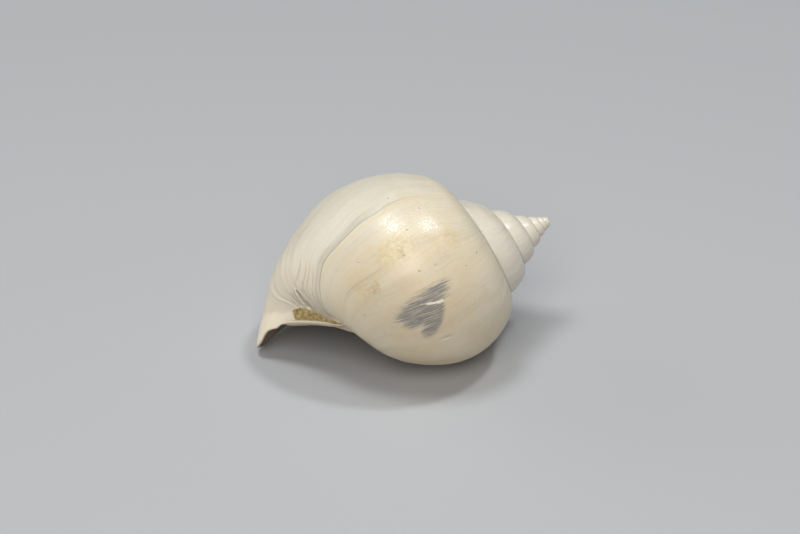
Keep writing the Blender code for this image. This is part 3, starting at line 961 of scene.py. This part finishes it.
def chained(spot, half, chain, soft=0.5):
    """1 near a chain of points and 0 away from it: one long ellipsoid for each step."""
    eggs = []
    for start, end in zip(chain, chain[1:]):
        start, end = Vector(start) * MM, Vector(end) * MM
        axis = end - start
        radii = (0.72 * axis.length, half * MM, half * MM)
        turn = axis.to_track_quat("X", "Z").to_euler()
        eggs.append(egg(spot, (start + end) / 2.0, radii, turn, soft))
    return highest(*eggs)


def near_line(value, centre, half, soft):
    """1 where the value is within half a width of the centre and 0 away from it."""
    return ranged(abs(value - centre), half * (1.0 + soft), half * (1.0 - soft))


class Field:
    """What the marks are worked out from.

    g and psi are the growth coordinates and growth_map is both of them, spot is the
    place on the shell, fine, middling and broad are noises along the growth lines,
    and wobble is g with a slight waviness.
    """

    def __init__(self, tree):
        self.growth_map = add_node(tree, "ShaderNodeUVMap", uv_map="Growth")
        self.g = add_node(tree, "ShaderNodeSeparateXYZ", {0: self.growth_map}, "X")
        self.psi = add_node(tree, "ShaderNodeSeparateXYZ", {0: self.growth_map}, "Y")
        self.spot = add_node(tree, "ShaderNodeTexCoord", output="Object")
        self.masks = {
            mask: add_node(tree, "ShaderNodeAttribute", output="Fac", attribute_name=mask)
            for mask in MASKS
        }
        self.outside = ranged(self.masks["inside"], 0.5, 0.0)
        self.grain = noise(self.spot, 2600.0, 3.0, 0.7)

        # Older growth lines bend back at the shoulder.
        back = ranged(self.psi, 0.3, 1.3, 0.0, -0.2, "LINEAR") * ranged(self.g, -0.3, -0.9)
        lined = sheared(self.g, self.psi, back)
        self.fine = streaks(lined, 110.0, 1.6)
        self.middling = streaks(lined, 34.0, 1.1, (3.0, 1.0, 0.0))
        self.broad = streaks(lined, 9.0, 0.8, (7.0, 2.0, 0.0), rough=0.5)
        self.wobble = self.g + (self.broad - 0.5) * 0.03


def clean_stone(settings, field):
    """The clean shell: warm older part, cool newer part, soft clouds and growth lines."""
    g, psi, spot = field.g, field.psi, field.spot
    cloud = noise(spot, 190.0, 4.0)
    inputs = {"Vector": spot, "Location": (0.03, 0.01, 0.02)}
    warm = noise(add_node(spot.tree, "ShaderNodeMapping", inputs), 330.0, 5.0, 0.65)
    speck = noise(spot, 2300.0, 3.0, 0.7)
    return painted(
        settings.cream,
        (ranged(g, -0.50, 0.15), settings.ivory),
        (ranged(psi, 0.25, 0.95, 0.0, 0.75), SHOULDER_CREAM),
        # The older whorls: pale cream with a painted cool reflection.
        (ranged(g, -2.2, -3.4), SPIRE_CREAM_AND_SKY_TINT),
        (ranged(cloud, 0.40, 0.66, 0.0, 0.30), PALE_CLOUD),
        (ranged(warm, 0.48, 0.70, 0.0, 0.26), WARM_CLOUD),
        (ranged(field.fine, 0.48, 0.66, 0.0, 0.22), settings.line_grey),
        (ranged(field.middling, 0.52, 0.74, 0.0, 0.12), settings.line_grey),
        (ranged(field.broad, 0.42, 0.68, 0.0, 0.12), WARM_CLOUD),
        (ranged(speck, 0.50, 0.70, 0.0, 0.13), WARM_CLOUD),
        (ranged(speck, 0.50, 0.30, 0.0, 0.17), PALE_CLOUD),
    )


def wrinkled(field, ground):
    """The pale base, and the wrinkles that gather towards the navel, with painted shade in their
    hollows.
    """
    psi, outside = field.psi, field.outside
    fanned = field.wobble * ranged(psi, -1.15, -1.42, 1.0, 0.67)
    folds = highest(*(near_line(fanned, at, 0.014, 0.9) for at in WRINKLES))
    low = ranged(psi, -0.95, -1.2) * ranged(psi, -1.72, -1.60) * outside
    hollow = folds * low * ranged(field.middling, 0.35, 0.6, 0.35, 1.0)
    pale = field.masks["base"] * ranged(field.g, -0.3, 0.2, 0.45, 1.0) * 0.7 * outside
    # The wrinkles' hollows are darkened with painted shade.
    return painted(ground, (pale, BASE_WARM), (hollow * 0.34, FOLD_SHADE_TAN)), hollow


def strongly_lined(settings, field, ground):
    """The strong growth line, the hatched band after it and the yellow lines beside it."""
    psi, wobble, outside = field.psi, field.wobble, field.outside
    on_side = outside * ranged(psi, 0.75, 0.15) * ranged(psi, -1.68, -1.58)
    dark_line = near_line(wobble, 0.003, 0.008, 0.8) * on_side
    thin = streaks(field.growth_map, 170.0, 1.2, (2.0, 6.0, 0.0), detail=2.0)
    hatch_band = near_line(wobble, 0.05, 0.045, 0.35) * ranged(psi, 0.25, -0.25)
    hatch_band = hatch_band * ranged(psi, -1.3, -0.9)
    hatch_band = hatch_band * ranged(thin, 0.42, 0.60, 0.20, 1.0) * outside
    yellow_line = near_line(wobble, -0.045, 0.018, 0.8) * ranged(psi, 1.2, 0.4)
    yellow_line = yellow_line * ranged(psi, -1.25, -0.9)
    yellow_line = yellow_line * outside * ranged(field.middling, 0.36, 0.56, 0.35, 1.0)
    edge_line = near_line(wobble, 0.125, 0.007, 0.9) * on_side * ranged(psi, -0.55, -0.3)
    faint = near_line(wobble, -0.50, 0.006, 0.9) * ranged(psi, -1.15, -1.0)
    faint = faint * ranged(psi, -0.2, -0.5)
    ground = painted(
        ground,
        (hatch_band * 0.42, HATCH_GREY),
        (dark_line * 0.34, HATCH_GREY),
        (dark_line * ranged(psi, -0.6, -1.1, 0.0, 0.45), VALLEY_SHADE_AND_LINE_BROWN),
        (yellow_line * 0.55, YELLOW),
        (edge_line * 0.3, YELLOW),
        (faint * 0.40 * outside, settings.line_grey),
    )
    return ground, dark_line


def stained(settings, field, ground):
    """Ochre stains and small brown pits."""
    speckle = ranged(noise(field.spot, 2300.0, 4.0, 0.75), 0.42, 0.60, 0.10, 1.0)
    for centre, radii, turn, strength, colour in STAINS:
        stain = within(field.growth_map, centre, radii, turn, 0.8)
        ground = painted(ground, (stain * speckle * strength * field.outside, colour))
    pits = highest(*(
        within(field.growth_map, centre, (size, size * PIT_LENGTHENING), 0.0, 0.5)
        for centre, size in PITS
    ))
    return painted(ground, (pits * 0.5 * field.outside, settings.ochre)), pits


def patched(settings, field, ground):
    """The grey-violet patch, hatched along the growth lines, its scratch and the nick below."""
    growth_map, outside = field.growth_map, field.outside
    tilt = field.psi * ranged(field.g, -0.90, -1.35, 0.10, -0.06, "LINEAR")
    streak = streaks(sheared(field.g, field.psi, tilt), 96.0, 2.6, (5.0, 9.0, 0.0), rough=0.66)
    frayed = (0.475 - streak) * 1.7
    patch = highest(*(within(growth_map, *lobe, 0.28, frayed) for lobe in PATCH_LOBES))
    patch = patch * ranged(streak, 0.37, 0.56, 0.28, 1.0) * outside
    scratch = within(growth_map, *SCRATCH, 0.4, (field.grain - 0.5) * 3.2)
    nick = within(growth_map, *NICK, 0.6)
    ground = painted(
        ground,
        (patch * 0.88, settings.violet),
        (within(growth_map, *SCRATCH_EDGE, 0.6) * 0.55 * outside, settings.ochre),
        (highest(scratch, nick) * 0.9 * outside, SCRATCH_CREAM),
        (within(growth_map, *NICK_SHADE, 0.8) * 0.5 * outside, settings.line_grey),
    )
    return ground, scratch, nick


def cracked(field, ground):
    """Painted shade in the valleys, the brown spot, the ridges with a painted highlight and the
    crack near the inner lip.
    """
    spot, outside = field.spot, field.outside
    valley_shade = highest(chained(spot, *VALLEY_SHADE, 0.8), chained(spot, *SIDE_VALLEY_SHADE, 0.8) * 0.7)
    brown = chained(spot, *BROWN_SPOT, 0.7) * ranged(field.grain, 0.35, 0.55, 0.4, 1.0)
    ridge = highest(chained(spot, *RIDGE), chained(spot, *SIDE_RIDGE) * 0.6)
    crack = chained(spot, *CRACK) * outside
    ground = painted(
        ground,
        # Painted shade in the valleys beside the ridges.
        (valley_shade * 0.6 * outside, VALLEY_SHADE_AND_LINE_BROWN),
        (brown * outside * 0.7, SPOT_BROWN),
        # A painted highlight along the ridges' crests.
        (ridge * 0.85 * outside, RIDGE_HIGHLIGHT_CREAM),
        (crack * 0.9, CRACK_BROWN),
    )
    return ground, ridge, crack


def covered(settings, field, ground):
    """Painted shade along the seams and on the mouth's rim, the mouth's inside, the smooth band
    and the sediment.
    """
    spot, masks, grain = field.spot, field.masks, field.grain
    # Painted shade on the rim and the mouth's first loops, giving way to the beige deeper in.
    mouth = painted(RIM_SHADE_BROWN, (masks["deep"], MOUTH_BEIGE))
    callus = masks["callus"] * below(spot, *CALLUS_PLANE)
    paler = ranged(noise(spot, 420.0, 4.0), 0.4, 0.7)
    buried = ranged(masks["sediment"] + (grain - 0.5) * 0.66, 0.42, 0.58)
    dirt = painted(
        SEDIMENT_DARK,
        (ranged(grain, 0.34, 0.58), settings.sediment),
        (ranged(noise(spot, 1600.0), 0.46, 0.62, 0.0, 0.7), SEDIMENT_PALE),
    )
    ground = painted(
        ground,
        # Painted shade in the crease along the seams.
        (ranged(masks["seam"], 0.30, 0.90) * 0.60 * field.outside, SEAM_SHADE_GREY),
        (ranged(masks["inside"], 0.1, 0.7) * 0.8, mouth),
        (callus, painted(settings.callus, (paler, CALLUS_PALE))),
        (buried, dirt),
    )
    return ground, callus, buried


def stone_material(settings):
    """The finish of the whole shell: growth lines, stains, patch, callus and sediment.

    Each mark is a mask between 0 and 1 worked out from the growth coordinates g
    and psi, from the place on the shell or from a noise, and lays its colour over
    the ones before it.
    """
    material = bpy.data.materials.new("fossil shell stone")
    material.use_nodes = True
    tree = material.node_tree
    field = Field(tree)
    ground = clean_stone(settings, field)
    ground, hollow = wrinkled(field, ground)
    ground, dark_line = strongly_lined(settings, field, ground)
    ground, pits = stained(settings, field, ground)
    ground, scratch, nick = patched(settings, field, ground)
    ground, ridge, crack = cracked(field, ground)
    ground, callus, buried = covered(settings, field, ground)

    # Soft gloss: the spire shines most, the upper last turn sparkles and sediment is dull.
    g, psi = field.g, field.psi
    sparkle = noise(field.spot, 3600.0)
    worn = ranged(psi, -0.5, 0.0) * ranged(psi, 1.0, 0.6)
    worn = worn * ranged(g, -0.8, -0.4) * ranged(g, 0.2, -0.1)
    polish = ranged(g, -5.2, -6.4, LAST_TURN_ROUGHNESS, SPIRE_ROUGHNESS)
    polish = polish + ranged(sparkle, 0.38, 0.62, -0.16, 0.10, "LINEAR") * worn
    dull = highest(buried, field.masks["inside"] * 0.6)
    roughness = highest(polish, dull * DULL_ROUGHNESS)

    # Fine relief: height of each mark in bump distances, smoothed away on the callus.
    raised = field.fine * 0.14
    for mark, height in (
        (field.middling, 0.28), (sparkle * worn, 0.22), (hollow, -1.1), (dark_line, -0.7),
        (pits, -0.9), (ridge, 3.2), (crack, -2.5), (scratch, -0.6), (nick, 0.9),
    ):
        raised = raised + mark * height
    raised = raised * ranged(callus, 1.0, 0.0, 0.15, 1.0) + field.grain * buried * 1.6
    inputs = {"Distance": BUMP_DISTANCE, "Height": raised, "Strength": 1.0}
    bump = add_node(tree, "ShaderNodeBump", inputs)

    shader = tree.nodes["Principled BSDF"]
    for name, value in (("Base Color", ground), ("Roughness", roughness), ("Normal", bump)):
        tree.links.new(value.socket, shader.inputs[name])
    shader.inputs["Specular IOR Level"].default_value = SPECULAR_LEVEL
    return material


class FOSSILSHELL_OT_make_shell(bpy.types.Operator):
    """Make the fossil shell with its finish"""

    bl_idname = "fossil_shell.make_shell"
    bl_label = "Make shell"

    def execute(self, context):
        skin = build_skin()
        mesh = mesh_from_skin(skin, "moon_snail_shell")
        mesh.materials.append(stone_material(context.scene.fossil_shell))
        shell = bpy.data.objects.new("moon_snail_shell", mesh)
        context.scene.collection.objects.link(shell)
        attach(shell, "root")
        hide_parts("shell")
        return {"FINISHED"}


# The floor: its roughness, and its cells along a side.
FLOOR_ROUGHNESS = 0.6
FLOOR_CELLS = 8


def make_floor(settings):
    """A flat square grid under the shell."""
    side = np.linspace(-0.5, 0.5, FLOOR_CELLS + 1) * settings.floor_size
    x, y = np.meshgrid(side, side, indexing="ij")
    points = np.stack([x, y, 0.0 * x], -1).reshape(-1, 3)
    ids = np.arange(x.size).reshape(x.shape)
    faces = np.stack([ids[corner] for corner in CELL_CORNERS], -1).reshape(-1, 4)
    mesh = bpy.data.meshes.new("floor")
    mesh.from_pydata(points.tolist(), [], faces.tolist())
    material = bpy.data.materials.new("pale floor")
    material.use_nodes = True
    shader = material.node_tree.nodes["Principled BSDF"]
    shader.inputs["Base Color"].default_value = settings.floor_colour
    shader.inputs["Roughness"].default_value = FLOOR_ROUGHNESS
    mesh.materials.append(material)
    floor = bpy.data.objects.new("floor", mesh)
    bpy.context.scene.collection.objects.link(floor)


# The camera: its place in millimetres, its line of sight, the direction to its
# right, its sensor's width in millimetres and its clip distances in metres.
CAMERA_PLACE = (-81.346, -215.471, 158.723)
CAMERA_FORWARD = (0.29466, 0.78752, -0.54129)
CAMERA_RIGHT = (0.93446, -0.35594, -0.00916)
SENSOR_WIDTH = 36.0
NEAR_AND_FAR = (0.01, 20.0)


def make_camera(settings):
    """The camera, from its place, its line of sight and its right-hand direction."""
    data = bpy.data.cameras.new("camera")
    camera = bpy.data.objects.new("camera", data)
    bpy.context.scene.collection.objects.link(camera)
    forward = Vector(CAMERA_FORWARD).normalized()
    right = Vector(CAMERA_RIGHT)
    right = (right - forward * right.dot(forward)).normalized()
    up = right.cross(forward)
    position = Vector(CAMERA_PLACE) * MM
    camera.matrix_world = Matrix((
        (right.x, up.x, -forward.x, position.x),
        (right.y, up.y, -forward.y, position.y),
        (right.z, up.z, -forward.z, position.z),
        (0.0, 0.0, 0.0, 1.0),
    ))
    data.sensor_width = SENSOR_WIDTH
    data.lens = settings.lens
    data.clip_start, data.clip_end = NEAR_AND_FAR
    bpy.context.scene.camera = camera


# Each lamp: name, direction to it, its distance and side in metres, its power and colour.
LAMPS = (
    ("overhead lamp", (-0.20, 0.05, 1.0), 0.5, 0.14, 1.03, (0.94, 0.98, 1.0)),
    ("right lamp", (0.34, -0.04, 0.93), 0.5, 0.055, 0.78, (0.93, 0.98, 1.0)),
    ("front lamp", (-0.32, -0.63, 0.707), 0.7, 0.45, 2.75, (1.0, 0.98, 0.945)),
    ("back lamp", (-0.664, 0.664, 0.342), 0.7, 0.45, 0.95, (1.0, 1.0, 1.0)),
)

# What the lamps face, in metres, and the light from all round.
LAMP_TARGET = (0.0, 0.0, 0.01)
WORLD_COLOUR = (0.93, 0.95, 1.0, 1.0)
WORLD_STRENGTH = 0.09


def make_lamps():
    """Square soft lamps that face the shell's middle."""
    middle = Vector(LAMP_TARGET)
    for name, direction, distance, side, power, colour in LAMPS:
        data = bpy.data.lights.new(name, "AREA")
        data.energy = power
        data.size = side
        data.color = colour
        lamp = bpy.data.objects.new(name, data)
        bpy.context.scene.collection.objects.link(lamp)
        lamp.location = middle + Vector(direction).normalized() * distance
        lamp.rotation_euler = (middle - lamp.location).to_track_quat("-Z", "Y").to_euler()


def make_world():
    """Plain pale light from all round."""
    world = bpy.data.worlds.new("studio")
    world.use_nodes = True
    background = world.node_tree.nodes["Background"]
    background.inputs["Color"].default_value = WORLD_COLOUR
    background.inputs["Strength"].default_value = WORLD_STRENGTH
    bpy.context.scene.world = world
    bpy.context.scene.view_settings.view_transform = "Standard"


class FOSSILSHELL_OT_make_stage(bpy.types.Operator):
    """Make the floor, the lamps and the camera"""

    bl_idname = "fossil_shell.make_stage"
    bl_label = "Make stage"

    def execute(self, context):
        settings = context.scene.fossil_stage
        make_floor(settings)
        make_camera(settings)
        make_lamps()
        make_world()
        return {"FINISHED"}


class FOSSILSHELL_PT_panel(bpy.types.Panel):
    """Lists the shell's settings and makers"""

    bl_idname = "FOSSILSHELL_PT_panel"
    bl_label = "Fossil shell"
    bl_space_type = "VIEW_3D"
    bl_region_type = "UI"
    bl_category = "Fossil shell"

    def draw(self, context):
        column = self.layout.column()
        for group in (context.scene.fossil_shell, context.scene.fossil_stage):
            for name in group.__annotations__:
                column.prop(group, name)
        column.operator(FOSSILSHELL_OT_make_shell.bl_idname)
        column.operator(FOSSILSHELL_OT_make_stage.bl_idname)


CLASSES = (
    ShellSettings, StageSettings, FOSSILSHELL_OT_make_shell, FOSSILSHELL_OT_make_stage,
    FOSSILSHELL_PT_panel,
)


def register():
    """Registers the classes and hangs their settings on the scene."""
    for made in CLASSES:
        bpy.utils.register_class(made)
    bpy.types.Scene.fossil_shell = bpy.props.PointerProperty(type=ShellSettings)
    bpy.types.Scene.fossil_stage = bpy.props.PointerProperty(type=StageSettings)


def unregister():
    """Undoes what register did, in the opposite order."""
    del bpy.types.Scene.fossil_stage
    del bpy.types.Scene.fossil_shell
    for made in reversed(CLASSES):
        bpy.utils.unregister_class(made)


def main():
    """Registers the classes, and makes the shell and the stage."""
    register()
    bpy.ops.fossil_shell.make_shell()
    bpy.ops.fossil_shell.make_stage()


if __name__ == "__main__":
    main()
